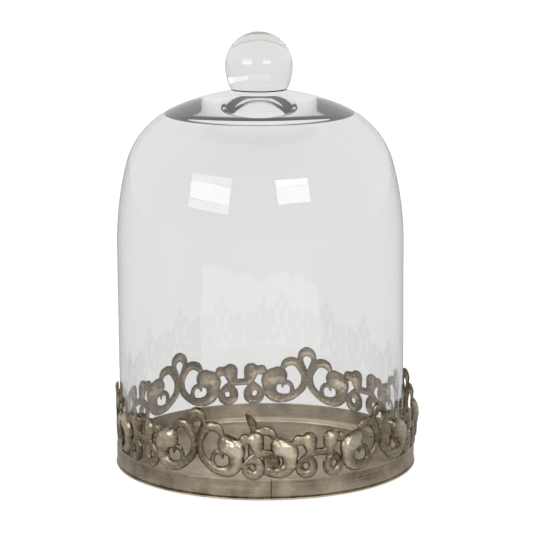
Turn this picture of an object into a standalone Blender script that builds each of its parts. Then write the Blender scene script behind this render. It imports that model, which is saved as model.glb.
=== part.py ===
"""A glass bell jar on a shallow metal tray with a pierced, embossed scrollwork gallery.

Blender 4.5. Metres, +Z up. The origin is the centre of the tray's underside, and -Y is the front.
Azimuths are in degrees, 0 at the front and growing to the right, seen from the front.
Sizes below are in millimetres.
"""

import math

import bmesh
import bpy
import numpy as np
from mathutils import Vector
from mathutils.geometry import delaunay_2d_cdt

MM = 0.001
GAP = 0.3

# Tray
BAND_RADIUS = 93.0
BAND_HEIGHT = 12.7
BAND_WALL = 0.8
FOOT_BEAD = 0.5
FOOT_BEAD_HEIGHT = 1.6
BEAD_CHAMFER = 0.5
EDGE_CHAMFER = 0.2
FLOOR_THICK = 0.8
BAND_STEPS = 72

# Glass bell, an upright wall, a long side arc, a shoulder arc and a crown arc, each tangent to the next
BELL_RADIUS = 88.4
BELL_WALL = 2.2
BELL_APEX = 233.0
CROWN_CEILING = 217.5
SIDE_START = 139.0
SIDE_ARC = 191.0
SHOULDER_ARC = 51.0
CROWN_ARC = 127.5
BELL_SHIFT_X = -2.6
BELL_STEPS = 48

# Solid glass ball knob
KNOB_RADIUS = 20.6
KNOB_CENTRE_Z = 247.8
KNOB_NECK_RADIUS = 17.6
KNOB_NECK_Z = 234.0
KNOB_STEPS = 32

# Gallery sheet
GALLERY_RADIUS = BAND_RADIUS + GAP
GALLERY_SHEET = 0.9
HALF_PITCH = 26.88
LAP_LIFT = 1.3
LAP_START = -16.0
LAP_END = -9.5
MOTIF_REACH = 40.0
FOOT_HEIGHT = 13.0
GRID = 0.5
GRID_MARGIN = 2.0
OUTLINE_TOLERANCE = 0.16
GALLERY_LOW = 10.0
GALLERY_HIGH = 57.0

# Solder
TACK_HALF_WIDTH = 1.7
TACK_HALF_HEIGHT = 0.9
CROWN_FOOT = 16.6
SMALL_FOOT = 8.6
FOOT_END_MARGIN = 1.8

# The right half of each motif, as strokes. A stroke is a row of points
# (distance from the motif's centre line, height, half width) joined by a smooth curve.
CROWN = {
    "scroll": [
        (19.0, 31.3, 5.9),
        (24.0, 29.0, 5.9),
        (24.7, 24.4, 4.7),
        (24.2, 20.0, 4.2),
        (21.3, 17.0, 3.6),
        (16.6, 16.0, 3.0),
        (11.2, 17.1, 2.5),
        (6.3, 20.5, 2.3),
        (3.0, 24.2, 2.4),
        (2.05, 28.0, 2.15),
        (2.05, 31.8, 2.15),
        (3.3, 35.6, 2.6),
        (6.2, 39.6, 2.8),
        (9.9, 41.0, 2.85),
        (13.6, 40.0, 2.7),
        (15.3, 38.0, 2.2),
    ],
    "curl": [
        (10.2, 19.6, 1.8),
        (10.0, 22.4, 1.5),
        (10.9, 25.2, 1.5),
        (13.1, 26.8, 1.6),
        (15.3, 26.1, 1.4),
        (16.2, 24.6, 1.0),
        (16.3, 23.4, 0.6),
    ],
    "loop": [
        (1.6, 34.6, 1.8),
        (3.4, 38.6, 1.9),
        (4.5, 42.6, 1.8),
        (3.2, 46.4, 2.5),
        (0.0, 48.0, 3.0),
        (-3.2, 46.4, 2.5),
    ],
}
SMALL = {
    "arch": [
        (0.0, 27.3, 2.2),
        (4.5, 26.9, 2.2),
        (8.6, 24.9, 2.1),
        (12.0, 21.9, 2.1),
    ],
    "ring": [
        (13.2, 20.0, 2.35),
        (12.0, 16.4, 2.7),
        (8.6, 14.7, 2.75),
        (5.1, 16.6, 2.9),
        (4.7, 20.4, 2.8),
        (6.8, 23.0, 2.5),
        (9.8, 23.3, 2.1),
    ],
    "lobe": [
        (6.9, 34.7, 4.9),
        (6.3, 31.6, 4.1),
        (5.6, 28.6, 3.2),
    ],
    "neck": [
        (11.4, 34.9, 3.0),
        (9.6, 34.9, 3.0),
    ],
    "ear": [
        (13.6, 34.9, 3.3),
        (13.1, 34.9, 3.3),
    ],
}
ARCH_STUB = [(-1.0, 27.3, 2.2), (1.5, 27.2, 1.6), (3.0, 26.9, 0.9)]

# The cut half crown at the front: its loop is flattened to a pointed leaf, and its curl is not pierced.
LEAF = [
    (-1.2, 50.8, 0.4),
    (0.3, 49.0, 1.6),
    (1.7, 47.0, 2.4),
    (2.8, 44.6, 2.5),
    (3.2, 42.0, 2.0),
    (3.0, 38.5, 1.9),
    (2.4, 35.5, 1.8),
]
CURL_WEB = [(13.4, 22.0, 4.0), (15.2, 22.2, 4.0)]

# Each strip of the gallery: the azimuth of one of its small motifs, the half pitches counted from it
# (even counts are small motifs, odd ones crowns), its two cut ends, how far it is soldered above the
# nominal height, and how far bending it by hand stretched it sideways and upward.
STRIPS = {
    "gallery_back": {
        "phase": 190.28, "counts": range(-3, 4), "start": 90.3, "end": 290.2,
        "raised": 0.2, "wide": 1.045, "tall": 1.017,
    },
    "gallery_front_right": {
        "phase": 20.47, "counts": range(-1, 4), "start": -7.4, "end": 90.0,
        "raised": 0.4, "wide": 1.0, "tall": 1.03,
    },
    "gallery_front_left": {
        "phase": 0.81, "counts": range(-3, 1), "start": -68.9, "end": 4.0,
        "raised": 0.6, "wide": 1.0, "tall": 1.08,
    },
}
FRONT_CUT_RIGHT = ("gallery_front_right", -1)
FRONT_CUT_LEFT = ("gallery_front_left", 0)


def clear_scene():
    for old in list(bpy.data.objects):
        bpy.data.objects.remove(old)


def material(name, colour, roughness, metallic, transmission=0.0):
    mat = bpy.data.materials.new(name)
    mat.use_nodes = True
    shader = mat.node_tree.nodes["Principled BSDF"]
    shader.inputs["Base Color"].default_value = (*colour, 1.0)
    shader.inputs["Roughness"].default_value = roughness
    shader.inputs["Metallic"].default_value = metallic
    shader.inputs["Transmission Weight"].default_value = transmission
    return mat


def add_object(name, mesh, mat, parent=None, smooth_angle=35.0):
    mesh.materials.append(mat)
    mesh.shade_smooth()
    mesh.set_sharp_from_angle(angle=math.radians(smooth_angle))
    obj = bpy.data.objects.new(name, mesh)
    bpy.context.scene.collection.objects.link(obj)
    obj.parent = parent
    return obj


def mesh_from(name, verts, faces):
    """A mesh in metres from vertices in millimetres, with its faces turned outward."""
    mesh = bpy.data.meshes.new(name)
    mesh.from_pydata([Vector(v) * MM for v in verts], [], faces)
    bm = bmesh.new()
    bm.from_mesh(mesh)
    bmesh.ops.recalc_face_normals(bm, faces=bm.faces)
    bm.to_mesh(mesh)
    bm.free()
    return mesh


def turned(name, profile, steps):
    """A solid of revolution about Z from a closed (radius, height) outline. Points on the axis become poles."""
    verts, rings = [], []
    for radius, height in profile:
        if radius < 1e-6:
            rings.append([len(verts)])
            verts.append((0.0, 0.0, height))
            continue
        rings.append(list(range(len(verts), len(verts) + steps)))
        for k in range(steps):
            a = 2 * math.pi * k / steps
            verts.append((radius * math.sin(a), -radius * math.cos(a), height))
    faces = []
    for low, high in zip(rings, rings[1:] + rings[:1]):
        if len(low) == 1 and len(high) == 1:
            continue
        for k in range(steps):
            n = (k + 1) % steps
            corners = [low[k % len(low)], low[n % len(low)], high[n % len(high)], high[k % len(high)]]
            faces.append(list(dict.fromkeys(corners)))
    return mesh_from(name, verts, faces)


def arc(centre, radius, start, end, count):
    """Points (radius, height) along an arc, angles in radians, both ends included."""
    angles = [start + (end - start) * k / count for k in range(count + 1)]
    return [(centre[0] + radius * math.cos(a), centre[1] + radius * math.sin(a)) for a in angles]


def bell_line(inset, side=3, shoulder=7, crown=5):
    """One skin of the bell from the rim's height to the apex, moved in from the outer skin by inset."""
    side_centre = (BELL_RADIUS - SIDE_ARC, SIDE_START)
    crown_centre = (0.0, BELL_APEX - CROWN_ARC)

    def shoulder_centre(angle):
        reach = SIDE_ARC - SHOULDER_ARC
        return (side_centre[0] + reach * math.cos(angle), side_centre[1] + reach * math.sin(angle))

    low, high = 0.0, math.radians(30)
    for _ in range(50):
        middle = (low + high) / 2
        x, y = shoulder_centre(middle)
        if math.hypot(x, y - crown_centre[1]) < CROWN_ARC - SHOULDER_ARC:
            low = middle
        else:
            high = middle
    x, y = shoulder_centre(low)
    joint = math.atan2(y - crown_centre[1], x)
    line = arc(side_centre, SIDE_ARC - inset, 0.0, low, side)
    line += arc((x, y), SHOULDER_ARC - inset, low, joint, shoulder)[1:]
    line += arc(crown_centre, CROWN_ARC - inset, joint, math.pi / 2, crown)[1:]
    line[-1] = (0.0, line[-1][1])
    return line


def band_profile():
    inner = BAND_RADIUS - BAND_WALL
    bead = BAND_RADIUS + FOOT_BEAD
    return [
        (inner, 0.0),
        (BAND_RADIUS, 0.0),
        (bead, BEAD_CHAMFER),
        (bead, FOOT_BEAD_HEIGHT - BEAD_CHAMFER),
        (BAND_RADIUS, FOOT_BEAD_HEIGHT),
        (BAND_RADIUS, BAND_HEIGHT - EDGE_CHAMFER),
        (BAND_RADIUS - EDGE_CHAMFER, BAND_HEIGHT),
        (inner + EDGE_CHAMFER, BAND_HEIGHT),
        (inner, BAND_HEIGHT - EDGE_CHAMFER),
    ]


def floor_profile():
    radius = BAND_RADIUS - BAND_WALL - GAP
    return [(0.0, 0.0), (radius, 0.0), (radius, FLOOR_THICK), (0.0, FLOOR_THICK)]


def bell_profile():
    """Round the rim, up the outer skin to the apex and down the inner skin, which is flat in the thick crown."""
    lip = BELL_WALL / 2
    foot = arc((BELL_RADIUS - lip, FLOOR_THICK + GAP + lip), lip, -math.pi, 0.0, 4)
    inner = [(radius, min(height, CROWN_CEILING)) for radius, height in bell_line(BELL_WALL)]
    return foot + bell_line(0.0) + inner[::-1]


def crown_height(radius):
    """Height of the bell's outer skin near its top, at a radius from the axis."""
    return BELL_APEX - CROWN_ARC + math.sqrt(CROWN_ARC**2 - radius**2)


def knob_profile():
    """A ball on a flatter arc that draws in to the neck. Its hollowed underside follows the bell's crown."""
    under = [(r, crown_height(r) + GAP) for r in (0.0, KNOB_NECK_RADIUS / 2, KNOB_NECK_RADIUS)]
    drop = KNOB_CENTRE_Z - KNOB_NECK_Z
    waist = KNOB_RADIUS - KNOB_NECK_RADIUS
    flatter = (drop**2 + waist**2) / (2 * waist)
    lower = arc((KNOB_RADIUS - flatter, KNOB_CENTRE_Z), flatter, -math.asin(drop / flatter), 0.0, 4)
    ball = arc((0.0, KNOB_CENTRE_Z), KNOB_RADIUS, 0.0, math.pi / 2, 7)
    ball[-1] = (0.0, ball[-1][1])
    return under + lower + ball[1:]


def smooth_stroke(points, samples=6):
    """Points (u, height, half width) along a Catmull-Rom curve through a stroke's points."""
    p = np.array(points, float)
    p = np.vstack([2 * p[0] - p[1], p, 2 * p[-1] - p[-2]])
    out = []
    for a, b, c, d in zip(p, p[1:], p[2:], p[3:]):
        for t in np.arange(samples) / samples:
            out.append(
                b
                + 0.5 * t * (c - a)
                + 0.5 * t * t * (2 * a - 5 * b + 4 * c - d)
                + 0.5 * t**3 * (3 * b - a - 3 * c + d)
            )
    out.append(p[-2])
    return np.array(out)


def motif_discs(name, count):
    """Every disc (u, height, radius) of a motif. The two motifs cut at the front have one half each."""
    strokes = dict(CROWN if count % 2 else SMALL)
    sides, extra = (-1.0, 1.0), []
    if (name, count) == FRONT_CUT_LEFT:
        sides, extra = (-1.0,), [smooth_stroke(ARCH_STUB)]
    if (name, count) == FRONT_CUT_RIGHT:
        del strokes["loop"]
        sides, extra = (1.0,), [smooth_stroke(LEAF), smooth_stroke(CURL_WEB)]
    discs = np.vstack([smooth_stroke(stroke) for stroke in strokes.values()])
    return np.vstack([discs * (side, 1.0, 1.0) for side in sides] + extra)


def strip_depth(name, u, z):
    """How deep each grid point lies inside the strip's metal, in mm; negative outside."""
    strip = STRIPS[name]
    depth = np.full((len(u), len(z)), -1.0)
    for count in strip["counts"]:
        centre = arc_length(strip["phase"] + count * HALF_PITCH * strip["wide"])
        near = np.flatnonzero(abs(u - centre) < MOTIF_REACH)
        across = (u[near, None] - centre) / strip["wide"]
        up = (z[None, :] - FOOT_HEIGHT - strip["raised"]) / strip["tall"] + FOOT_HEIGHT
        for du, height, radius in motif_discs(name, count):
            depth[near] = np.maximum(depth[near], radius - np.hypot(across - du, up - height))
    ends = np.minimum(u - arc_length(strip["start"]), arc_length(strip["end"]) - u)
    return np.minimum(depth, ends[:, None])


def arc_length(azimuth):
    return math.radians(azimuth) * GALLERY_RADIUS


def zero_crossing(a, b, depth, u, z):
    """The point between grid corners a and b where the depth is zero."""
    share = depth[a] / (depth[a] - depth[b])
    return (
        u[a[0]] + share * (u[b[0]] - u[a[0]]),
        z[a[1]] + share * (z[b[1]] - z[a[1]]),
    )


def outlines(depth, u, z):
    """The closed outlines of the metal on the grid. Each cell hands its outline on to the next one."""
    inside = depth > 0
    mixed = inside[:-1, :-1].astype(int) + inside[1:, :-1] + inside[:-1, 1:] + inside[1:, 1:]
    following, place = {}, {}
    for i, j in np.argwhere((mixed > 0) & (mixed < 4)):
        corners = [(i, j), (i + 1, j), (i + 1, j + 1), (i, j + 1)]
        edges = [
            (a, b) for a, b in zip(corners, corners[1:] + corners[:1]) if inside[a] != inside[b]
        ]
        if not inside[edges[0][0]]:
            edges = edges[1:] + edges[:1]
        for leave, enter in zip(edges[::2], edges[1::2]):
            following[frozenset(leave)] = frozenset(enter)
            place[frozenset(leave)] = zero_crossing(*leave, depth, u, z)
    loops = []
    while following:
        key, end = following.popitem()
        loop = [place[key]]
        while end in following:
            loop.append(place[end])
            end = following.pop(end)
        loops.append(np.array(loop))
    return loops


def thinned(points):
    """The points of an open line that shape it by more than the tolerance, without its last point."""
    chord = points[-1] - points[0]
    away = points - points[0]
    off = abs(chord[0] * away[:, 1] - chord[1] * away[:, 0]) / np.hypot(*chord)
    worst = int(off.argmax())
    if off[worst] < OUTLINE_TOLERANCE:
        return [points[0]]
    return thinned(points[: worst + 1]) + thinned(points[worst:])


def thinned_loop(loop):
    far = int(np.hypot(*(loop - loop[0]).T).argmax())
    closed = np.vstack([loop, loop[:1]])
    return thinned(closed[: far + 1]) + thinned(closed[far:])


def inside_loops(point, edges):
    """True where a horizontal ray from the point crosses the outlines an odd number of times."""
    a, b = edges[:, 0], edges[:, 1]
    spans = (a[:, 1] > point[1]) != (b[:, 1] > point[1])
    a, b = a[spans], b[spans]
    cross = a[:, 0] + (point[1] - a[:, 1]) / (b[:, 1] - a[:, 1]) * (b[:, 0] - a[:, 0])
    return np.count_nonzero(cross > point[0]) % 2 == 1


def flat_sheet(loops):
    """Triangles that fill the outlines, as 2-D points and index triples."""
    points, links = [], []
    for loop in loops:
        first = len(points)
        points += [Vector(p) for p in loop]
        links += [(first + k, first + (k + 1) % len(loop)) for k in range(len(loop))]
    edges = np.array([[points[a][:], points[b][:]] for a, b in links])
    verts, _, tris, *_ = delaunay_2d_cdt(points, links, [], 0, 1e-4)
    kept = [t for t in tris if inside_loops(sum((verts[k] for k in t), Vector((0, 0))) / 3, edges)]
    return verts, kept


def lap_lift(name, azimuth):
    """How far the front-left strip stands out where its end laps over the front-right one."""
    if name != "gallery_front_left":
        return 0.0
    share = min(1.0, max(0.0, (azimuth - LAP_START) / (LAP_END - LAP_START)))
    return LAP_LIFT * share * share * (3 - 2 * share)


def gallery_mesh(name):
    """The strip's pierced sheet, wrapped round the band."""
    strip = STRIPS[name]
    u = np.arange(arc_length(strip["start"]) - GRID_MARGIN, arc_length(strip["end"]) + GRID_MARGIN, GRID)
    z = np.arange(GALLERY_LOW, GALLERY_HIGH, GRID)
    loops = [thinned_loop(loop) for loop in outlines(strip_depth(name, u, z), u, z)]
    flat, tris = flat_sheet([loop for loop in loops if len(loop) > 3])
    verts = []
    for depth in (0.0, GALLERY_SHEET):
        for point in flat:
            azimuth = point[0] / GALLERY_RADIUS
            radius = GALLERY_RADIUS + depth + lap_lift(name, math.degrees(azimuth))
            verts.append((radius * math.sin(azimuth), -radius * math.cos(azimuth), point[1]))
    count = len(flat)
    faces = [list(t) for t in tris] + [[k + count for k in t[::-1]] for t in tris]
    sides = {(t[k], t[k - 1]) for t in tris for k in range(3)}
    for a, b in sorted(sides):
        if (b, a) not in sides:
            faces.append([a, b, b + count, a + count])
    return mesh_from(name, verts, faces)


def tack_azimuths():
    """The azimuth of every scroll foot that stands whole on the band."""
    feet = []
    for name, strip in STRIPS.items():
        for count in strip["counts"]:
            foot = math.degrees((CROWN_FOOT if count % 2 else SMALL_FOOT) / GALLERY_RADIUS)
            for side in (-1, 1):
                azimuth = strip["phase"] + (count * HALF_PITCH + side * foot) * strip["wide"]
                if strip["start"] + FOOT_END_MARGIN < azimuth < strip["end"] - FOOT_END_MARGIN:
                    feet.append(azimuth)
    return feet


def tack_mesh(name, azimuth):
    """A bead of solder on the band's top edge, behind a scroll's foot."""
    bm = bmesh.new()
    bmesh.ops.create_uvsphere(bm, u_segments=6, v_segments=4, radius=1.0)
    half_depth = (BAND_WALL - 0.1) / 2
    half = Vector((TACK_HALF_WIDTH, half_depth, TACK_HALF_HEIGHT)) * MM
    bmesh.ops.scale(bm, vec=half, verts=bm.verts)
    radius = BAND_RADIUS - BAND_WALL + half_depth
    height = BAND_HEIGHT + GAP + TACK_HALF_HEIGHT
    bmesh.ops.translate(bm, vec=Vector((0.0, -radius, height)) * MM, verts=bm.verts)
    turn = math.radians(azimuth)
    for v in bm.verts:
        x, y, z = v.co
        v.co = (x * math.cos(turn) - y * math.sin(turn), x * math.sin(turn) + y * math.cos(turn), z)
    mesh = bpy.data.meshes.new(name)
    bm.to_mesh(mesh)
    bm.free()
    return mesh


def build_tray(pewter, solder):
    add_object("rim_band", turned("rim_band", band_profile(), BAND_STEPS), pewter)
    add_object("tray_floor", turned("tray_floor", floor_profile(), BAND_STEPS), pewter)
    for name in STRIPS:
        add_object(name, gallery_mesh(name), pewter)
    for number, azimuth in enumerate(tack_azimuths(), start=1):
        name = f"solder_tack_{number:02d}"
        add_object(name, tack_mesh(name, azimuth), solder, smooth_angle=80.0)


def build_bell(glass):
    axis = bpy.data.objects.new("bell_axis", None)
    bpy.context.scene.collection.objects.link(axis)
    axis.location.x = BELL_SHIFT_X * MM
    add_object("glass_bell", turned("glass_bell", bell_profile(), BELL_STEPS), glass, axis)
    add_object("glass_knob", turned("glass_knob", knob_profile(), KNOB_STEPS), glass, axis)


clear_scene()
build_tray(
    material("aged_pewter", (0.20, 0.17, 0.13), 0.42, 0.9),
    material("solder", (0.55, 0.50, 0.42), 0.35, 0.9),
)
build_bell(material("clear_glass", (0.97, 0.98, 0.98), 0.02, 0.0, transmission=1.0))
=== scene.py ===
"""The looks of a glass bell jar on a metal tray with an embossed, pierced scrollwork gallery.

Lengths are in millimetres until a mesh is made, and the frame is the CAD model's: +Z up, -Y to the front.
Azimuths are in degrees, 0 at the front and growing to the right, seen from the front.
"""

import math

import bpy
import numpy as np
from mathutils import Matrix, Vector, noise

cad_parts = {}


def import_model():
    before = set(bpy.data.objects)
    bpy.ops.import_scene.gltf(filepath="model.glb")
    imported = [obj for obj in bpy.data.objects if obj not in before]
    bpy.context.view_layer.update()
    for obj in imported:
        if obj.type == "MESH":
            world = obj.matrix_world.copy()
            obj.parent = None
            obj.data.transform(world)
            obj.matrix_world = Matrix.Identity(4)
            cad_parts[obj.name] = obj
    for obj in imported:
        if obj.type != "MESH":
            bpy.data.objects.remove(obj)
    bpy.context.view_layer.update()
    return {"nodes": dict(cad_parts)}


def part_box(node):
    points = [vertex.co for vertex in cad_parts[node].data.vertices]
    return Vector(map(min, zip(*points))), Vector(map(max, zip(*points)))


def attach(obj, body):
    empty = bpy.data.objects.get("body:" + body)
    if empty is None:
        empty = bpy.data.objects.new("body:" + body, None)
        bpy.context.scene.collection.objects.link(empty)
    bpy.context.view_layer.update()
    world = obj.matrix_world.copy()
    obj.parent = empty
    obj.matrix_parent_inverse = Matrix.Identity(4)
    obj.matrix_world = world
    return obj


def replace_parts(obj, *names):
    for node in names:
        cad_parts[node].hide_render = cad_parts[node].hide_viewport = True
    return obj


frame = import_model()

MM = 0.001


def box_mm(node):
    low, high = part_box(node)
    return low / MM, high / MM


_, BAND_HIGH = box_mm("rim_band")
_, FLOOR_HIGH = box_mm("tray_floor")
BELL_LOW, BELL_HIGH = box_mm("glass_bell")
KNOB_LOW, KNOB_HIGH = box_mm("glass_knob")

# Tray
FOOT_BEAD = 0.5
BAND_RADIUS = BAND_HIGH.x - FOOT_BEAD
BAND_HEIGHT = BAND_HIGH.z
BAND_WALL = 0.8
SEAM_AZIMUTH = 2.0
BAND_STEPS = 384
FLOOR_STEPS = 120
PRESSED_RING = (4.0, 0.25, 1.4)  # how far in from the floor's edge, its height and its half width

# Glass
GLASS_AXIS_X = (BELL_LOW.x + BELL_HIGH.x) / 2
BELL_RADIUS = (BELL_HIGH.x - BELL_LOW.x) / 2
BELL_APEX = BELL_HIGH.z
RIM_HEIGHT = BELL_LOW.z
GLASS_WALL = 2.2
# Painted glow: a faint emission on all the glass, stronger in the thick crown, standing in for light that
# the bounce limit loses
GLASS_PAINTED_GLOW = 0.004
CROWN_PAINTED_GLOW = 0.014
SIDE_START = 139.0
SIDE_ARC = 191.0
SHOULDER_ARC = 51.0
CROWN_ARC = 127.5
KNOB_RADIUS = (KNOB_HIGH.x - KNOB_LOW.x) / 2
KNOB_CENTRE = KNOB_HIGH.z - KNOB_RADIUS
NECK_RADIUS = 17.6
NECK_HEIGHT = 234.0
CREASE_HEIGHT = 233.5
GLASS_STEPS = 180
GLASS_LEAN = -0.9
CROWN_CEILING = 217.5

# Gallery
GALLERY_RADIUS = BAND_RADIUS - 0.4
SHEET = 0.55
FOOT_HEIGHT = 13.0
OUTWARD_TILT = 0.4
PILLOW = 0.4
PILLOW_EDGE = 1.0
LEFT_INSET = 0.8
FULL_RELIEF = 2.4
HALF_PITCH = 26.88
GRID = 0.5
GALLERY_LOW = 10.0
GALLERY_HIGH = 57.0
LAP_LIFT = 1.3
LAP_START = -16.0
LAP_END = -9.5

# The right half of each motif, as strokes. A stroke is a row of points
# (distance from the motif's centre line, height, half width) joined by a smooth curve.
CROWN = {
    "scroll": [
        (19.0, 31.3, 5.9),
        (24.0, 29.0, 5.9),
        (24.7, 24.4, 4.7),
        (24.2, 20.0, 4.2),
        (21.3, 17.0, 3.6),
        (16.6, 16.0, 3.0),
        (11.2, 17.1, 2.5),
        (6.3, 20.5, 2.3),
        (3.0, 24.2, 2.4),
        (2.05, 28.0, 2.15),
        (2.05, 31.8, 2.15),
        (3.3, 35.6, 2.6),
        (6.2, 39.6, 2.8),
        (9.9, 41.0, 2.85),
        (13.6, 40.0, 2.7),
        (15.3, 38.0, 2.2),
    ],
    "curl": [
        (10.2, 19.6, 1.8),
        (10.0, 22.4, 1.5),
        (10.9, 25.2, 1.5),
        (13.1, 26.8, 1.6),
        (15.3, 26.1, 1.4),
        (16.2, 24.6, 1.0),
        (16.3, 23.4, 0.6),
    ],
    "loop": [
        (1.6, 34.6, 1.8),
        (3.4, 38.6, 1.9),
        (4.5, 42.6, 1.8),
        (3.2, 46.4, 2.5),
        (0.0, 48.0, 3.0),
        (-3.2, 46.4, 2.5),
    ],
}
SMALL = {
    "arch": [
        (0.0, 27.3, 2.2),
        (4.5, 26.9, 2.2),
        (8.6, 24.9, 2.1),
        (12.0, 21.9, 2.1),
    ],
    "ring": [
        (13.2, 20.0, 2.35),
        (12.0, 16.4, 2.7),
        (8.6, 14.7, 2.75),
        (5.1, 16.6, 2.9),
        (4.7, 20.4, 2.8),
        (6.8, 23.0, 2.5),
        (9.8, 23.3, 2.1),
    ],
    "lobe": [
        (6.9, 34.7, 4.9),
        (6.3, 31.6, 4.1),
        (5.6, 28.6, 3.2),
    ],
    "neck": [
        (11.4, 34.9, 3.0),
        (9.6, 34.9, 3.0),
    ],
    "ear": [
        (13.6, 34.9, 3.3),
        (13.1, 34.9, 3.3),
    ],
}
ARCH_STUB = [(-1.0, 27.3, 2.2), (1.5, 27.2, 1.6), (3.0, 26.9, 0.9)]

# The cut half crown at the front: its loop is flattened to a pointed leaf, and its curl is not pierced
LEAF = [
    (-1.2, 50.8, 0.4),
    (0.3, 49.0, 1.6),
    (1.7, 47.0, 2.4),
    (2.8, 44.6, 2.5),
    (3.2, 42.0, 2.0),
    (3.0, 38.5, 1.9),
    (2.4, 35.5, 1.8),
]
CURL_WEB = [(13.4, 22.0, 4.0), (15.2, 22.2, 4.0)]
LOW_RELIEF = 0.25

# Where each strip lies, in degrees, and how bending and soldering by hand left it
STRIPS = {
    "gallery_back": {
        "phase": 190.28, "counts": range(-3, 4), "start": 90.3, "end": 290.2,
        "raised": 0.2, "wide": 1.045, "tall": 1.017,
    },
    "gallery_front_right": {
        "phase": 20.47, "counts": range(-1, 4), "start": -7.4, "end": 90.0,
        "raised": 0.4, "wide": 1.0, "tall": 1.03,
    },
    "gallery_front_left": {
        "phase": 0.81, "counts": range(-3, 1), "start": -68.9, "end": 4.0,
        "raised": 0.6, "wide": 1.0, "tall": 1.08,
    },
}
FRONT_CUT_RIGHT = ("gallery_front_right", -1)
FRONT_CUT_LEFT = ("gallery_front_left", 0)

# Metal tones, from dark patina with painted shade in the hollows to rubbed metal with painted sheen on the
# ridges
DARK_PATINA_AND_SHADE = (0.065, 0.049, 0.031)
MID_PATINA = (0.24, 0.2, 0.147)
PALE_PATINA = (0.44, 0.38, 0.288)
RUBBED_AND_SHEEN = (0.70, 0.63, 0.51)
WARM_SPOTS = (1.0, 0.9, 0.74)
SOLDER_DULL = (0.34, 0.29, 0.21)
SOLDER_BRIGHT = (0.62, 0.56, 0.45)

# The wear at which each tone shows, on the embossed work and on plain sheet. On the embossed work the
# relief adds to the wear, as painted shade in the low hollows and edges and painted sheen on the high
# domes.
EMBOSSED_STOPS = [(0.54, DARK_PATINA_AND_SHADE), (0.74, MID_PATINA), (0.98, PALE_PATINA), (1.25, RUBBED_AND_SHEEN)]
PLAIN_STOPS = [(0.36, DARK_PATINA_AND_SHADE), (0.50, MID_PATINA), (0.66, PALE_PATINA), (0.9, RUBBED_AND_SHEEN)]
WEAR_AND_LIGHT_RANGE = 1.6
SPECKLE = 0.55

# Studio, as the glass and the metal see it
BACKDROP = (0.745, 0.75, 0.75)
ROOM = (0.42, 0.42, 0.42)
SIDES = (0.34, 0.34, 0.34)
FLOOR_GREY = (0.76, 0.765, 0.765)
FLOOR_ASIDE = (0.40, 0.40, 0.40)
PALE_SHEET = (1.7, 1.7, 1.7)
CEILING = (0.12, 0.12, 0.12)
CEILING_IN_GLASS = (0.45, 0.45, 0.45)
DARK_PATCH = (0.0, -0.45, 0.893)

# Window panes: name, azimuth, elevation, width and height in degrees, radiance
WINDOWS = [
    ("left_upper_pane", -42.0, 22.7, 34.0, 8.2, 3.2),
    ("left_middle_pane", -42.0, 14.9, 34.0, 6.8, 6.0),
    ("left_lower_pane", -42.0, 9.65, 34.0, 3.1, 3.6),
    ("right_upper_pane", 28.0, 21.95, 27.0, 6.3, 4.0),
    ("right_lower_pane", 28.0, 15.35, 27.0, 6.5, 5.8),
]
SEEN_THROUGH_GLASS = "right_upper_pane"
KEY_LIGHT = ("metal_key", 6.0, 44.0, 24.0, 14.0, 6.0)
LIGHT_DISTANCE = 2.0
LIGHT_TARGET = Vector((0.0, 0.0, 0.17))
FLOOR_HALF = 12000.0
FLOOR_DROP = 0.4

# Camera, fitted in millimetres: distance and elevation about a target on the axis
CAMERA_TARGET = Vector((0.0, 0.0, 130.0))
CAMERA_DISTANCE = 1500.0
CAMERA_ELEVATION = 10.733
CAMERA_LENS = 163.75
CAMERA_AIM = Vector((1.05, 0.0, 122.8))
CAMERA_ROLL = -0.225


# ---------------------------------------------------------------- mesh helpers


def new_object(name, verts, faces, mat, smooth_angle=40.0):
    mesh = bpy.data.meshes.new(name)
    mesh.from_pydata([Vector(v) * MM for v in verts], [], faces)
    mesh.validate()
    mesh.materials.append(mat)
    mesh.shade_smooth()
    mesh.set_sharp_from_angle(angle=math.radians(smooth_angle))
    obj = bpy.data.objects.new(name, mesh)
    bpy.context.scene.collection.objects.link(obj)
    return obj


def add_attribute(obj, name, values):
    attribute = obj.data.attributes.new(name, "FLOAT", "POINT")
    attribute.data.foreach_set("value", np.asarray(values, np.float32))


def arc(centre, radius, start, end, count):
    """Points (radius, height) along an arc, angles in radians, both ends included."""
    angles = [start + (end - start) * k / count for k in range(count + 1)]
    return [(centre[0] + radius * math.cos(a), centre[1] + radius * math.sin(a)) for a in angles]


def turned(profile, steps, bend=None):
    """Vertices and faces of a closed (radius, height) outline turned about Z.
    The outline runs anticlockwise, seen with the axis on its left. bend moves a point by its azimuth."""
    verts, rings = [], []
    for radius, height in profile:
        count = 1 if radius < 1e-6 else steps
        rings.append(list(range(len(verts), len(verts) + count)))
        for k in range(count):
            a = 2 * math.pi * k / steps
            r, z = bend(radius, height, a) if bend else (radius, height)
            verts.append((r * math.sin(a), -r * math.cos(a), z))
    faces = []
    for low, high in zip(rings, rings[1:] + rings[:1]):
        if len(low) == 1 and len(high) == 1:
            continue
        for k in range(steps):
            n = (k + 1) % steps
            corners = [low[k % len(low)], low[n % len(low)], high[n % len(high)], high[k % len(high)]]
            faces.append(list(dict.fromkeys(corners)))
    return verts, faces


# ------------------------------------------------------------- gallery shapes


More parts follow.
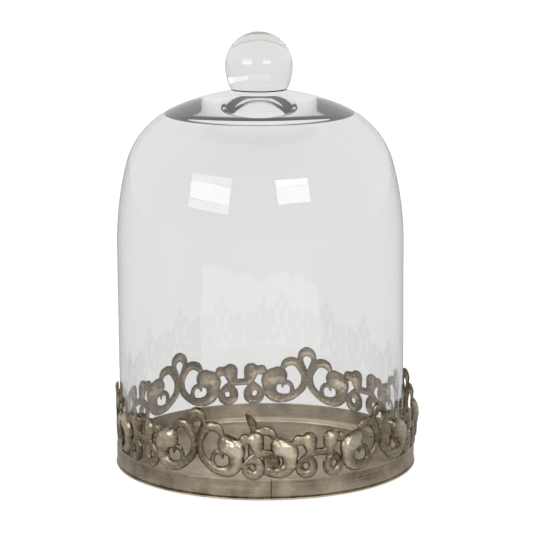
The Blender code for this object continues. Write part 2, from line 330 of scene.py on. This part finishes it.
def smooth_stroke(points, samples=14):
    """Points (u, height, half width) along a Catmull-Rom curve through a stroke's points."""
    p = np.array(points, float)
    p = np.vstack([2 * p[0] - p[1], p, 2 * p[-1] - p[-2]])
    out = []
    for a, b, c, d in zip(p, p[1:], p[2:], p[3:]):
        for t in np.arange(samples) / samples:
            out.append(
                b
                + 0.5 * t * (c - a)
                + 0.5 * t * t * (2 * a - 5 * b + 4 * c - d)
                + 0.5 * t**3 * (3 * b - a - 3 * c + d)
            )
    out.append(p[-2])
    return np.array(out)


def with_share(stroke, share):
    """A stroke's discs (u, height, radius, share of the full relief)."""
    discs = smooth_stroke(stroke)
    return np.column_stack([discs, np.full(len(discs), share)])


def motif_discs(name, count):
    """Every disc of one motif of a strip. The two motifs cut at the front have one half each."""
    strokes = dict(CROWN if count % 2 else SMALL)
    sides, extra = (-1.0, 1.0), []
    if (name, count) == FRONT_CUT_LEFT:
        sides, extra = (-1.0,), [with_share(ARCH_STUB, 1.0)]
    if (name, count) == FRONT_CUT_RIGHT:
        del strokes["loop"]
        sides, extra = (1.0,), [with_share(LEAF, LOW_RELIEF), with_share(CURL_WEB, LOW_RELIEF)]
    discs = np.vstack([with_share(stroke, 1.0) for stroke in strokes.values()])
    return np.vstack([discs * (side, 1.0, 1.0, 1.0) for side in sides] + extra)


def arc_length(azimuth):
    return math.radians(azimuth) * GALLERY_RADIUS


def ridge_height(radius):
    """How far a stroke of this half width stands out at its middle."""
    return 0.32 * radius**1.22


def blurred(field, passes=2):
    """Softens the creases where strokes meet."""
    for _ in range(passes):
        padded = np.pad(field, 1, mode="edge")
        across = padded[:-2, 1:-1] + padded[2:, 1:-1]
        up = padded[1:-1, :-2] + padded[1:-1, 2:]
        field = (across + up + 2 * field) / 6
    return field


def strip_fields(name, u, z):
    """On a grid: how deep each point lies inside the metal, and how far the embossing lifts it."""
    strip = STRIPS[name]
    depth = np.full((len(u), len(z)), -1.0)
    relief = np.zeros_like(depth)
    for count in strip["counts"]:
        centre = arc_length(strip["phase"] + count * HALF_PITCH * strip["wide"])
        near = np.flatnonzero(abs(u - centre) < 40)
        across = (u[near, None] - centre) / strip["wide"]
        up = (z[None, :] - FOOT_HEIGHT - strip["raised"]) / strip["tall"] + FOOT_HEIGHT
        for du, height, radius, share in motif_discs(name, count):
            away = np.hypot(across - du, up - height)
            depth[near] = np.maximum(depth[near], radius - away)
            dome = np.clip(1 - (away / radius) ** 2, 0, 1) ** 0.8
            dome *= 1 + OUTWARD_TILT * math.copysign(1, du) * (across - du) / radius
            relief[near] = np.maximum(relief[near], share * ridge_height(radius) * dome)
    pillow = PILLOW * np.sqrt(1 - np.clip(1 - depth / PILLOW_EDGE, 0, 1) ** 2)
    relief = blurred(relief + pillow) * (depth > 0)
    ends = np.minimum(u - arc_length(strip["start"]), arc_length(strip["end"]) - u)
    return np.minimum(depth, ends[:, None]), relief


def sheet_cells(depth, relief, u, z):
    """The metal's flat points (u, z, relief) and the cells between them, cut off at depth zero."""
    points, number = [], {}

    def corner(i, j):
        if (i, j) not in number:
            number[i, j] = len(points)
            points.append((u[i], z[j], relief[i, j]))
        return number[i, j]

    def crossing(a, b):
        key = frozenset((a, b))
        if key not in number:
            number[key] = len(points)
            share = min(0.94, max(0.06, depth[a] / (depth[a] - depth[b])))
            edge_relief = relief[a] * (1 - share) if depth[a] > 0 else relief[b] * share
            at_u = u[a[0]] + share * (u[b[0]] - u[a[0]])
            at_z = z[a[1]] + share * (z[b[1]] - z[a[1]])
            points.append((at_u, at_z, edge_relief * 0.3))
        return number[key]

    inside = depth > 0
    touched = inside[:-1, :-1] | inside[1:, :-1] | inside[:-1, 1:] | inside[1:, 1:]
    cells = []
    for i, j in np.argwhere(touched):
        ring = [(i, j), (i + 1, j), (i + 1, j + 1), (i, j + 1)]
        cell = []
        for a, b in zip(ring, ring[1:] + ring[:1]):
            if inside[a]:
                cell.append(corner(*a))
            if inside[a] != inside[b]:
                cell.append(crossing(*sorted((a, b))))
        cells.append(cell)
    return np.array(points), cells


def lap_lift(name, azimuth):
    """How far the front-left strip stands out where its end laps over the front-right one."""
    if name != "gallery_front_left":
        return 0.0
    share = min(1.0, max(0.0, (azimuth - LAP_START) / (LAP_END - LAP_START)))
    return LAP_LIFT * share * share * (3 - 2 * share)


def hand_work(azimuth, height, seed):
    """The slow unevenness, in mm, of a strip bent and soldered by hand, pressed in on the left side."""
    turn = math.radians(azimuth)
    place = Vector((math.cos(turn) * 3, math.sin(turn) * 3, height * 0.03 + seed))
    return 0.25 * noise.noise(place) - LEFT_INSET * max(0.0, -math.sin(turn)) ** 6


def gallery(name, mat):
    strip = STRIPS[name]
    seed = 10.0 * list(STRIPS).index(name)
    u = np.arange(arc_length(strip["start"]) - 2, arc_length(strip["end"]) + 2, GRID)
    z = np.arange(GALLERY_LOW, GALLERY_HIGH, GRID)
    points, cells = sheet_cells(*strip_fields(name, u, z), u, z)
    verts = []
    for skin in (0.0, -SHEET):
        for at_u, at_z, lift in points:
            azimuth = math.degrees(at_u / GALLERY_RADIUS)
            dents = 0.12 * noise.noise(Vector((at_u * 0.35, at_z * 0.35, seed)))
            radius = GALLERY_RADIUS + lift * (1 + dents) + skin + lap_lift(name, azimuth)
            radius += hand_work(azimuth, at_z, seed)
            turn = at_u / GALLERY_RADIUS
            verts.append((radius * math.sin(turn), -radius * math.cos(turn), at_z))
    count = len(points)
    faces = cells + [[k + count for k in cell[::-1]] for cell in cells]
    sides = {(cell[k - 1], cell[k]) for cell in cells for k in range(len(cell))}
    for a, b in sorted(sides):
        if (b, a) not in sides:
            faces.append([b, a, a + count, b + count])
    obj = new_object("embossed_" + name, verts, faces, mat, smooth_angle=60.0)
    # The relief share, which the metal paints as shade in the hollows and sheen on the domes; the inner
    # skin takes a flatter share that starts higher.
    raised = np.maximum(points[:, 2] / FULL_RELIEF, 0.2)
    add_attribute(obj, "relief", np.concatenate([raised, 0.25 + 0.6 * raised]))
    return obj


# ------------------------------------------------------------------ tray, glass


def band_profile():
    """Anticlockwise: up the outside past the rolled foot, over the top edge and down the inside."""
    inner = BAND_RADIUS - BAND_WALL
    foot = arc((BAND_RADIUS - 0.15, 0.65), 0.65, -math.pi / 2, math.pi / 2, 8)
    groove = [(BAND_RADIUS - 0.12, 1.45), (BAND_RADIUS, 1.75)]
    wall = [(BAND_RADIUS, 1.75 + (BAND_HEIGHT - 2.6) * k / 12) for k in range(1, 13)]
    edge = arc((BAND_RADIUS - BAND_WALL / 2, BAND_HEIGHT - 0.45), BAND_WALL / 2, 0.0, math.pi, 8)
    down = [(inner, BAND_HEIGHT - 0.6 - (BAND_HEIGHT - 0.6) * k / 12) for k in range(13)]
    return foot + groove + wall + edge + down


def band_bend(radius, height, turn):
    """Hand-bent waviness, and the butt seam as a narrow groove at the front."""
    wave = 0.12 * noise.noise(Vector((math.cos(turn) * 4, math.sin(turn) * 4, height * 0.1)))
    off_seam = abs(math.remainder(turn - math.radians(SEAM_AZIMUTH), 2 * math.pi)) * BAND_RADIUS
    groove = 0.35 * max(0.0, 1 - off_seam / 0.9)
    return radius + wave - groove, height


def rim_band(mat):
    verts, faces = turned(band_profile(), BAND_STEPS, band_bend)
    return new_object("rolled_rim_band", verts, faces, mat)


def floor_profile():
    radius = FLOOR_HIGH.x
    top = FLOOR_HIGH.z
    inset, rise, half_width = PRESSED_RING
    steps = [radius * (1 - k / 24) for k in range(1, 24)]
    upper = [(r, top + rise * math.exp(-(((r - radius + inset) / half_width) ** 2))) for r in steps]
    return [(0.0, 0.0), (radius, 0.0), (radius, top)] + upper + [(0.0, top)]


def floor_bend(radius, height, turn):
    """A pressed sheet is never quite flat: its top dips and swells a little, its underside stays flat."""
    if height < FLOOR_HIGH.z / 2:
        return radius, height
    place = Vector((radius * math.cos(turn), radius * math.sin(turn), 0.0)) * 0.03
    return radius, height + 0.12 * noise.noise(place)


def tray_floor(mat):
    verts, faces = turned(floor_profile(), FLOOR_STEPS, floor_bend)
    return new_object("pressed_tray_floor", verts, faces, mat)


def bell_line(inset, side=14, shoulder=30, crown=26):
    """One skin of the bell from the start of its side arc to the apex, moved in from the outer skin."""
    side_centre = (BELL_RADIUS - SIDE_ARC, SIDE_START)
    crown_centre = (0.0, BELL_APEX - CROWN_ARC)

    def shoulder_centre(angle):
        reach = SIDE_ARC - SHOULDER_ARC
        return (side_centre[0] + reach * math.cos(angle), side_centre[1] + reach * math.sin(angle))

    low, high = 0.0, math.radians(30)
    for _ in range(50):
        middle = (low + high) / 2
        x, y = shoulder_centre(middle)
        if math.hypot(x, y - crown_centre[1]) < CROWN_ARC - SHOULDER_ARC:
            low = middle
        else:
            high = middle
    x, y = shoulder_centre(low)
    joint = math.atan2(y - crown_centre[1], x)
    line = arc(side_centre, SIDE_ARC - inset, 0.0, low, side)
    line += arc((x, y), SHOULDER_ARC - inset, low, joint, shoulder)[1:]
    line += arc(crown_centre, CROWN_ARC - inset, joint, math.pi / 2, crown)[1:]
    return line


def knob_line():
    """Up the outside from the crown: a short collar, a fine crease, and the ball over a flatter arc."""
    drop = KNOB_CENTRE - NECK_HEIGHT
    waist = KNOB_RADIUS - NECK_RADIUS
    flatter = (drop**2 + waist**2) / (2 * waist)
    start = -math.asin(drop / flatter)
    lower = arc((KNOB_RADIUS - flatter, KNOB_CENTRE), flatter, start, 0.0, 24)
    ball = arc((0.0, KNOB_CENTRE), KNOB_RADIUS, 0.0, math.pi / 2, 40)
    ball[-1] = (0.0, ball[-1][1])
    collar = [(NECK_RADIUS + 1.2, 232.1), (NECK_RADIUS + 0.3, 232.6), (NECK_RADIUS - 0.1, 233.0)]
    crease = [(NECK_RADIUS - 0.9, CREASE_HEIGHT)]
    return collar + crease + lower + ball[1:]


def under_crown(point):
    """The inner skin under the knob is nearly flat, so the crown is thick."""
    radius, height = point
    return radius, min(height, CROWN_CEILING)


def glass_profile():
    """Anticlockwise: round the rim, up the outside, over the knob to the axis, and down the inner skin."""
    lip = GLASS_WALL / 2
    rim = arc((BELL_RADIUS - lip, RIM_HEIGHT + lip), lip, -math.pi, 0.0, 12)
    foot = RIM_HEIGHT + lip
    rise = [(BELL_RADIUS, foot + (SIDE_START - foot) * k / 40) for k in range(1, 40)]
    outer = [p for p in bell_line(0.0) if p[0] > NECK_RADIUS + 1.8]
    inner = [under_crown(point) for point in bell_line(GLASS_WALL, crown=60)]
    inner[-1] = (0.0, inner[-1][1])
    fall = [(BELL_RADIUS - GLASS_WALL, y) for _, y in rise[::-1]]
    return rim + rise + outer + knob_line() + inner[::-1] + fall


def glass_bend(radius, height, turn):
    """Blown glass: the wall swells and thins slowly round and up the bell."""
    place = Vector((radius * math.cos(turn), radius * math.sin(turn), height)) * 0.022
    sway = 0.16 * noise.noise(place) * min(1.0, radius / 40)
    return radius + sway, height


def glass_bell(mat):
    verts, faces = turned(glass_profile(), GLASS_STEPS, glass_bend)
    verts = [(x + GLASS_AXIS_X + GLASS_LEAN * (z / BELL_APEX - 0.5), y, z) for x, y, z in verts]
    bell = new_object("blown_glass_bell", verts, faces, mat, smooth_angle=70.0)
    # Marks the crease, which the glass paints black as painted shade for the dark line at the neck.
    add_attribute(bell, "crease", [float(abs(z - CREASE_HEIGHT) < 0.05) for _, _, z in verts])
    return bell


# ------------------------------------------------------------------- materials


class Graph:
    """A node tree, with a short method for each kind of node used here. A value is a number, a colour
    or another node's output."""

    def __init__(self, tree):
        self.nodes = tree.nodes
        self.links = tree.links

    def feed(self, socket, value):
        if hasattr(value, "links"):
            self.links.new(value, socket)
        elif isinstance(value, tuple):
            socket.default_value = (*value, 1.0)
        else:
            socket.default_value = value

    def math(self, operation, a, b=0.0):
        node = self.nodes.new("ShaderNodeMath")
        node.operation = operation
        self.feed(node.inputs[0], a)
        self.feed(node.inputs[1], b)
        return node.outputs[0]

    def plus(self, a, b):
        return self.math("ADD", a, b)

    def minus(self, a, b):
        return self.math("SUBTRACT", a, b)

    def times(self, a, b):
        return self.math("MULTIPLY", a, b)

    def weighted(self, parts):
        """The sum of (value, weight) parts."""
        total = 0.0
        for value, weight in parts:
            total = self.plus(self.times(value, weight), total)
        return total

    def mix(self, factor, a, b, blend="MIX"):
        node = self.nodes.new("ShaderNodeMix")
        node.data_type = "RGBA"
        node.blend_type = blend
        self.feed(node.inputs[0], factor)
        self.feed(node.inputs[6], a)
        self.feed(node.inputs[7], b)
        return node.outputs[2]

    def ramp(self, source, stops):
        """A colour ramp with stops of (position, colour)."""
        node = self.nodes.new("ShaderNodeValToRGB")
        elements = node.color_ramp.elements
        while len(elements) < len(stops):
            elements.new(0.5)
        for element, (position, colour) in zip(elements, stops):
            element.position = position
            element.color = (*colour, 1.0)
        self.feed(node.inputs["Fac"], source)
        return node.outputs["Color"]

    def grey_ramp(self, source, stops):
        """A ramp with stops of (position, grey)."""
        return self.ramp(source, [(position, (grey, grey, grey)) for position, grey in stops])

    def noise(self, scale, stretch=(1, 1, 1), detail=4.0):
        """A noise texture in the object's own metres, stretched by a scale along each axis."""
        coords = self.nodes.new("ShaderNodeTexCoord")
        mapping = self.nodes.new("ShaderNodeMapping")
        texture = self.nodes.new("ShaderNodeTexNoise")
        mapping.inputs["Scale"].default_value = stretch
        texture.inputs["Scale"].default_value = scale
        texture.inputs["Detail"].default_value = detail
        self.feed(mapping.inputs["Vector"], coords.outputs["Object"])
        self.feed(texture.inputs["Vector"], mapping.outputs["Vector"])
        return texture.outputs["Fac"]

    def place(self, kind="Object"):
        """The x, y and z of a texture coordinate."""
        coords = self.nodes.new("ShaderNodeTexCoord")
        split = self.nodes.new("ShaderNodeSeparateXYZ")
        self.feed(split.inputs["Vector"], coords.outputs[kind])
        return [split.outputs[axis] for axis in "XYZ"]

    def facing(self, direction):
        """The cosine between the direction looked at and this one."""
        coords = self.nodes.new("ShaderNodeTexCoord")
        dot = self.nodes.new("ShaderNodeVectorMath")
        dot.operation = "DOT_PRODUCT"
        dot.inputs[1].default_value = direction
        self.feed(dot.inputs[0], coords.outputs["Generated"])
        return dot.outputs["Value"]

    def attribute(self, name):
        node = self.nodes.new("ShaderNodeAttribute")
        node.attribute_name = name
        return node.outputs["Fac"]

    def bump(self, height, distance):
        node = self.nodes.new("ShaderNodeBump")
        node.inputs["Distance"].default_value = distance
        self.feed(node.inputs["Height"], height)
        return node.outputs["Normal"]

    def ray(self, kind):
        return self.nodes.new("ShaderNodeLightPath").outputs[kind]

    def mirror_ray(self):
        """1 for a ray mirrored by the metal, 0 for one that has passed through glass."""
        return self.times(self.ray("Is Glossy Ray"), self.minus(1.0, self.ray("Is Transmission Ray")))

    def line(self, value, at, half_width):
        """1 where a value is at its mark in mm, falling to 0 at a half width on either side."""
        off = self.math("ABSOLUTE", self.minus(value, at * MM))
        share = self.minus(1.0, self.math("DIVIDE", off, half_width * MM))
        return self.math("MAXIMUM", share, 0.0)

    def surface(self, factor, a, b):
        """The material's surface: a mix of two shaders."""
        mixer = self.nodes.new("ShaderNodeMixShader")
        self.feed(mixer.inputs["Fac"], factor)
        self.feed(mixer.inputs[1], a.outputs[0])
        self.feed(mixer.inputs[2], b.outputs[0])
        self.feed(self.nodes["Material Output"].inputs["Surface"], mixer.outputs["Shader"])


def node_material(name):
    """A material, its graph and its shader."""
    mat = bpy.data.materials.new(name)
    mat.use_nodes = True
    graph = Graph(mat.node_tree)
    return mat, graph, graph.nodes["Principled BSDF"]


def band_seam_and_painted_lines(graph):
    """How the tone changes on the band: a real dark seam, a painted shadow line in the groove over the
    foot, and painted highlight lines on the foot, the top edge and low on the inside.
    """
    x, y, z = graph.place()
    from_axis = graph.math("SQRT", graph.plus(graph.times(x, x), graph.times(y, y)))
    inside = graph.math("LESS_THAN", from_axis, (BAND_RADIUS - BAND_WALL / 2) * MM)
    outside = graph.minus(1.0, inside)
    in_front = graph.math("LESS_THAN", y, 0.0)
    seam_x = BAND_RADIUS * math.sin(math.radians(SEAM_AZIMUTH))
    marks = [
        # The seam is a real dark joint; the other lines are painted shade in the groove and painted
        # highlights on the rolled foot, the top edge and the inner wall.
        (graph.times(graph.line(x, seam_x, 0.6), in_front), outside, -0.2),
        (graph.line(z, 1.7, 0.8), outside, -0.22),
        (graph.line(z, 0.6, 0.7), outside, 0.15),
        (graph.line(z, BAND_HEIGHT, 0.8), outside, 0.20),
        (graph.line(z, 2.4, 1.6), inside, 0.45),
    ]
    return graph.weighted([(graph.times(mask, side), amount) for mask, side, amount in marks])


def aged_metal_and_painted_light(name, embossed=False, polish=0.0, rough=(0.26, 0.40), marks=None):
    """Antiqued sheet metal: dark warm patina with painted shade in the hollows, rubbed pale with painted
    sheen on the ridges, fine streaks.
    """
    mat, graph, shader = node_material(name)
    clouds = graph.noise(75.0, detail=6.0)
    streaks = graph.noise(60.0, stretch=(0.4, 0.4, 36.0), detail=6.0)
    grain = graph.noise(1500.0, detail=3.0)
    parts = [(clouds, 0.5), (streaks, 0.3), (grain, 0.25)]
    if embossed:
        specks = graph.minus(graph.noise(420.0, detail=6.0), 0.5)
        # Relief adds painted shade in the low hollows and edges, over the real patina, and painted sheen on
        # the high domes, over the real rubbing.
        parts += [(graph.attribute("relief"), 0.5), (specks, SPECKLE)]
    wear_and_painted_light = graph.plus(graph.weighted(parts), polish)
    if marks:
        wear_and_painted_light = graph.plus(wear_and_painted_light, marks(graph))
    stops = EMBOSSED_STOPS if embossed else PLAIN_STOPS
    scaled_stops = [(at / WEAR_AND_LIGHT_RANGE, tone) for at, tone in stops]
    colour = graph.ramp(graph.times(wear_and_painted_light, 1 / WEAR_AND_LIGHT_RANGE), scaled_stops)
    warmth = graph.grey_ramp(graph.noise(190.0), [(0.45, 0.0), (0.62, 0.8)])
    graph.feed(shader.inputs["Base Color"], graph.mix(warmth, colour, WARM_SPOTS, "MULTIPLY"))
    graph.feed(shader.inputs["Roughness"], graph.grey_ramp(clouds, [(0.3, rough[0]), (0.7, rough[1])]))
    graph.feed(shader.inputs["Metallic"], 0.93)
    scratched = graph.weighted([(streaks, 0.8), (grain, 1.0)])
    graph.feed(shader.inputs["Normal"], graph.bump(scratched, 0.00008))
    return mat


def solder_metal():
    mat, graph, shader = node_material("soft_solder")
    clouds = graph.noise(500.0, detail=3.0)
    colour = graph.ramp(clouds, [(0.3, SOLDER_DULL), (0.7, SOLDER_BRIGHT)])
    graph.feed(shader.inputs["Base Color"], colour)
    graph.feed(shader.inputs["Metallic"], 0.95)
    graph.feed(shader.inputs["Roughness"], 0.33)
    graph.feed(shader.inputs["Normal"], graph.bump(clouds, 0.0002))
    return mat


def clear_glass():
    """Clear glass, painted black in the crease under the knob as painted shade, with a faint painted glow
    that is stronger in the thick crown, standing in for light that the bounce limit loses. Light passes it
    without a shadow, which keeps the tray lit."""
    mat, graph, shader = node_material("clear_blown_glass")
    ripple = graph.noise(26.0, stretch=(1, 1, 0.45), detail=2.0)
    tint = graph.ramp(ripple, [(0.3, (0.985, 0.984, 0.978)), (0.7, (0.995, 0.994, 0.99))])
    # Painted shade: the crease is painted black for the dark line that the neck shows in the glass.
    crease = graph.math("MINIMUM", graph.times(graph.attribute("crease"), 2.5), 1.0)
    graph.feed(shader.inputs["Base Color"], graph.mix(crease, tint, (0.0, 0.0, 0.0)))
    graph.feed(shader.inputs["Transmission Weight"], 1.0)
    graph.feed(shader.inputs["Roughness"], 0.0)
    graph.feed(shader.inputs["IOR"], 1.48)
    graph.feed(shader.inputs["Emission Color"], (1.0, 1.0, 1.0))
    # A faint painted glow, stronger in the thick crown, for light that the bounce limit loses.
    height = graph.place()[2]
    above = graph.math("GREATER_THAN", height, (CROWN_CEILING - 1.0) * MM)
    thick = graph.times(above, graph.math("LESS_THAN", height, (CREASE_HEIGHT - 1.0) * MM))
    painted_glow = graph.plus(graph.times(thick, CROWN_PAINTED_GLOW), GLASS_PAINTED_GLOW)
    graph.feed(shader.inputs["Emission Strength"], painted_glow)
    mat.cycles.emission_sampling = "NONE"
    graph.surface(graph.ray("Is Shadow Ray"), shader, graph.nodes.new("ShaderNodeBsdfTransparent"))
    return mat


# ---------------------------------------------------------------- stage, light


def pale_sheet(graph):
    """1 on a pale sheet with uneven edges, in front of the object, that the glass mirrors faintly."""
    x, y, _ = graph.place()
    uneven = graph.times(graph.minus(graph.noise(4.2, detail=3.0), 0.5), 0.4)
    distance = graph.math("SQRT", graph.plus(graph.times(x, x), graph.times(y, y)))
    near_and_far = [(0.30, 0.0), (0.44, 1.0), (0.80, 1.0), (0.83, 0.0)]
    along = graph.grey_ramp(graph.plus(distance, uneven), near_and_far)
    aside = graph.math("DIVIDE", graph.math("ABSOLUTE", x), graph.math("ABSOLUTE", y))
    across = graph.grey_ramp(graph.plus(graph.times(aside, 0.5), uneven), [(0.47, 1.0), (0.49, 0.0)])
    return graph.times(graph.times(along, across), graph.math("LESS_THAN", y, 0.0))


def floor_material():
    """Near white to the camera with a soft shadow, pale grey to the glass, dimmer aside to the metal."""
    mat, graph, shader = node_material("studio_floor")
    graph.feed(shader.inputs["Roughness"], 0.9)
    graph.feed(shader.inputs["Base Color"], graph.grey_ramp(graph.noise(3.0), [(0.0, 0.44), (1.0, 0.46)]))
    graph.feed(shader.inputs["Emission Color"], (1.0, 1.0, 1.0))
    graph.feed(shader.inputs["Emission Strength"], 0.8)
    aside = graph.times(graph.math("ABSOLUTE", graph.place()[0]), 5.0)
    bare = graph.ramp(aside, [(0.25, FLOOR_GREY), (0.62, FLOOR_ASIDE)])
    mirrored = graph.mix(pale_sheet(graph), bare, PALE_SHEET)
    grey = graph.nodes.new("ShaderNodeEmission")
    graph.feed(grey.inputs["Color"], graph.mix(graph.mirror_ray(), FLOOR_GREY, mirrored))
    graph.surface(graph.ray("Is Camera Ray"), grey, shader)
    return mat


def studio_floor():
    half = FLOOR_HALF
    corners = [(-half, -half), (half, -half), (half, half), (-half, half)]
    verts = [(x, y, -FLOOR_DROP) for x, y in corners]
    new_object("studio_floor", verts, [(0, 1, 2, 3)], floor_material())


def softbox(name, azimuth, elevation, width, height, radiance):
    """A rectangular light facing the bell, given by its middle and its size as the bell sees them."""
    data = bpy.data.lights.new(name, "AREA")
    data.shape = "RECTANGLE"
    data.size = 2 * LIGHT_DISTANCE * math.tan(math.radians(width / 2))
    data.size_y = 2 * LIGHT_DISTANCE * math.tan(math.radians(height / 2))
    data.energy = radiance * math.pi * data.size * data.size_y
    light = bpy.data.objects.new(name, data)
    light.visible_transmission = name == SEEN_THROUGH_GLASS
    bpy.context.scene.collection.objects.link(light)
    turn, rise = math.radians(azimuth), math.radians(elevation)
    outward = Vector((math.sin(turn) * math.cos(rise), -math.cos(turn) * math.cos(rise), math.sin(rise)))
    light.location = LIGHT_TARGET + outward * LIGHT_DISTANCE
    light.rotation_euler = outward.to_track_quat("Z", "Y").to_euler()
    return light


def key_light(metal):
    """A high soft light on the metal alone, which puts the shine on the embossed domes."""
    lit = bpy.data.collections.new("lit_metal")
    for piece in metal:
        lit.objects.link(piece)
    softbox(*KEY_LIGHT).light_linking.receiver_collection = lit


def world():
    """White behind the object for the camera. For glass and metal it is a pale backdrop and pale sides,
    a dimmer room behind the camera and a dark patch over it."""
    scene_world = bpy.data.worlds.new("studio")
    bpy.context.scene.world = scene_world
    scene_world.use_nodes = True
    graph = Graph(scene_world.node_tree)
    toward_backdrop = graph.plus(graph.times(graph.place("Generated")[1], 0.5), 0.5)
    through_glass = graph.ramp(toward_backdrop, [(0.22, ROOM), (0.42, BACKDROP)])
    mirrored = graph.ramp(toward_backdrop, [(0.22, ROOM), (0.48, SIDES), (0.66, BACKDROP)])
    walls = graph.mix(graph.mirror_ray(), through_glass, mirrored)
    patch = graph.grey_ramp(graph.facing(DARK_PATCH), [(0.80, 0.0), (0.93, 1.0)])
    ceiling = graph.mix(graph.ray("Is Transmission Ray"), CEILING, CEILING_IN_GLASS)
    studio = graph.mix(patch, walls, ceiling)
    colour = graph.mix(graph.ray("Is Camera Ray"), studio, (1.0, 1.0, 1.0))
    graph.feed(graph.nodes["Background"].inputs["Color"], colour)


def camera():
    data = bpy.data.cameras.new("camera")
    data.lens = CAMERA_LENS
    data.sensor_width = 36.0
    data.clip_end = 100.0
    cam = bpy.data.objects.new("camera", data)
    bpy.context.scene.collection.objects.link(cam)
    rise = math.radians(CAMERA_ELEVATION)
    place = CAMERA_TARGET + Vector((0, -math.cos(rise), math.sin(rise))) * CAMERA_DISTANCE
    cam.location = place * MM
    look = (CAMERA_AIM - place).to_track_quat("-Z", "Y").to_matrix().to_4x4()
    roll = Matrix.Rotation(math.radians(CAMERA_ROLL), 4, "Z")
    cam.rotation_euler = (look @ roll).to_euler()
    bpy.context.scene.camera = cam


# --------------------------------------------------------------------- assembly


def dress_tray():
    """Puts the visual pieces on the tray's CAD nodes, and solder on its tacks. Returns the pieces."""
    embossed = aged_metal_and_painted_light("aged_embossed_sheet_and_painted_light", embossed=True, rough=(0.20, 0.34))
    band_metal = aged_metal_and_painted_light("aged_band_sheet_and_painted_lines", polish=0.04, marks=band_seam_and_painted_lines)
    floor_metal = aged_metal_and_painted_light("aged_floor_sheet", polish=0.2)
    metal = [
        ("rim_band", rim_band(band_metal), "aged_pewter"),
        ("tray_floor", tray_floor(floor_metal), "tray_floor_metal"),
    ]
    metal += [(name, gallery(name, embossed), "aged_pewter") for name in STRIPS]
    for node, piece, slot in metal:
        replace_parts(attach(piece, "base"), node)
    solder = solder_metal()
    for name, node in frame["nodes"].items():
        if name.startswith("solder_tack"):
            node.data.materials.clear()
            node.data.materials.append(solder)
    return [piece for _, piece, _ in metal]


def dress_glass():
    piece = glass_bell(clear_glass())
    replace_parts(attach(piece, "bell"), "glass_bell", "glass_knob")


def light_studio(metal):
    world()
    studio_floor()
    for name, azimuth, elevation, width, height, radiance in WINDOWS:
        softbox(name, azimuth, elevation, width, height, radiance)
    key_light(metal)
    camera()
    bpy.context.scene.view_settings.view_transform = "Standard"


metal_pieces = dress_tray()
dress_glass()
light_studio(metal_pieces)
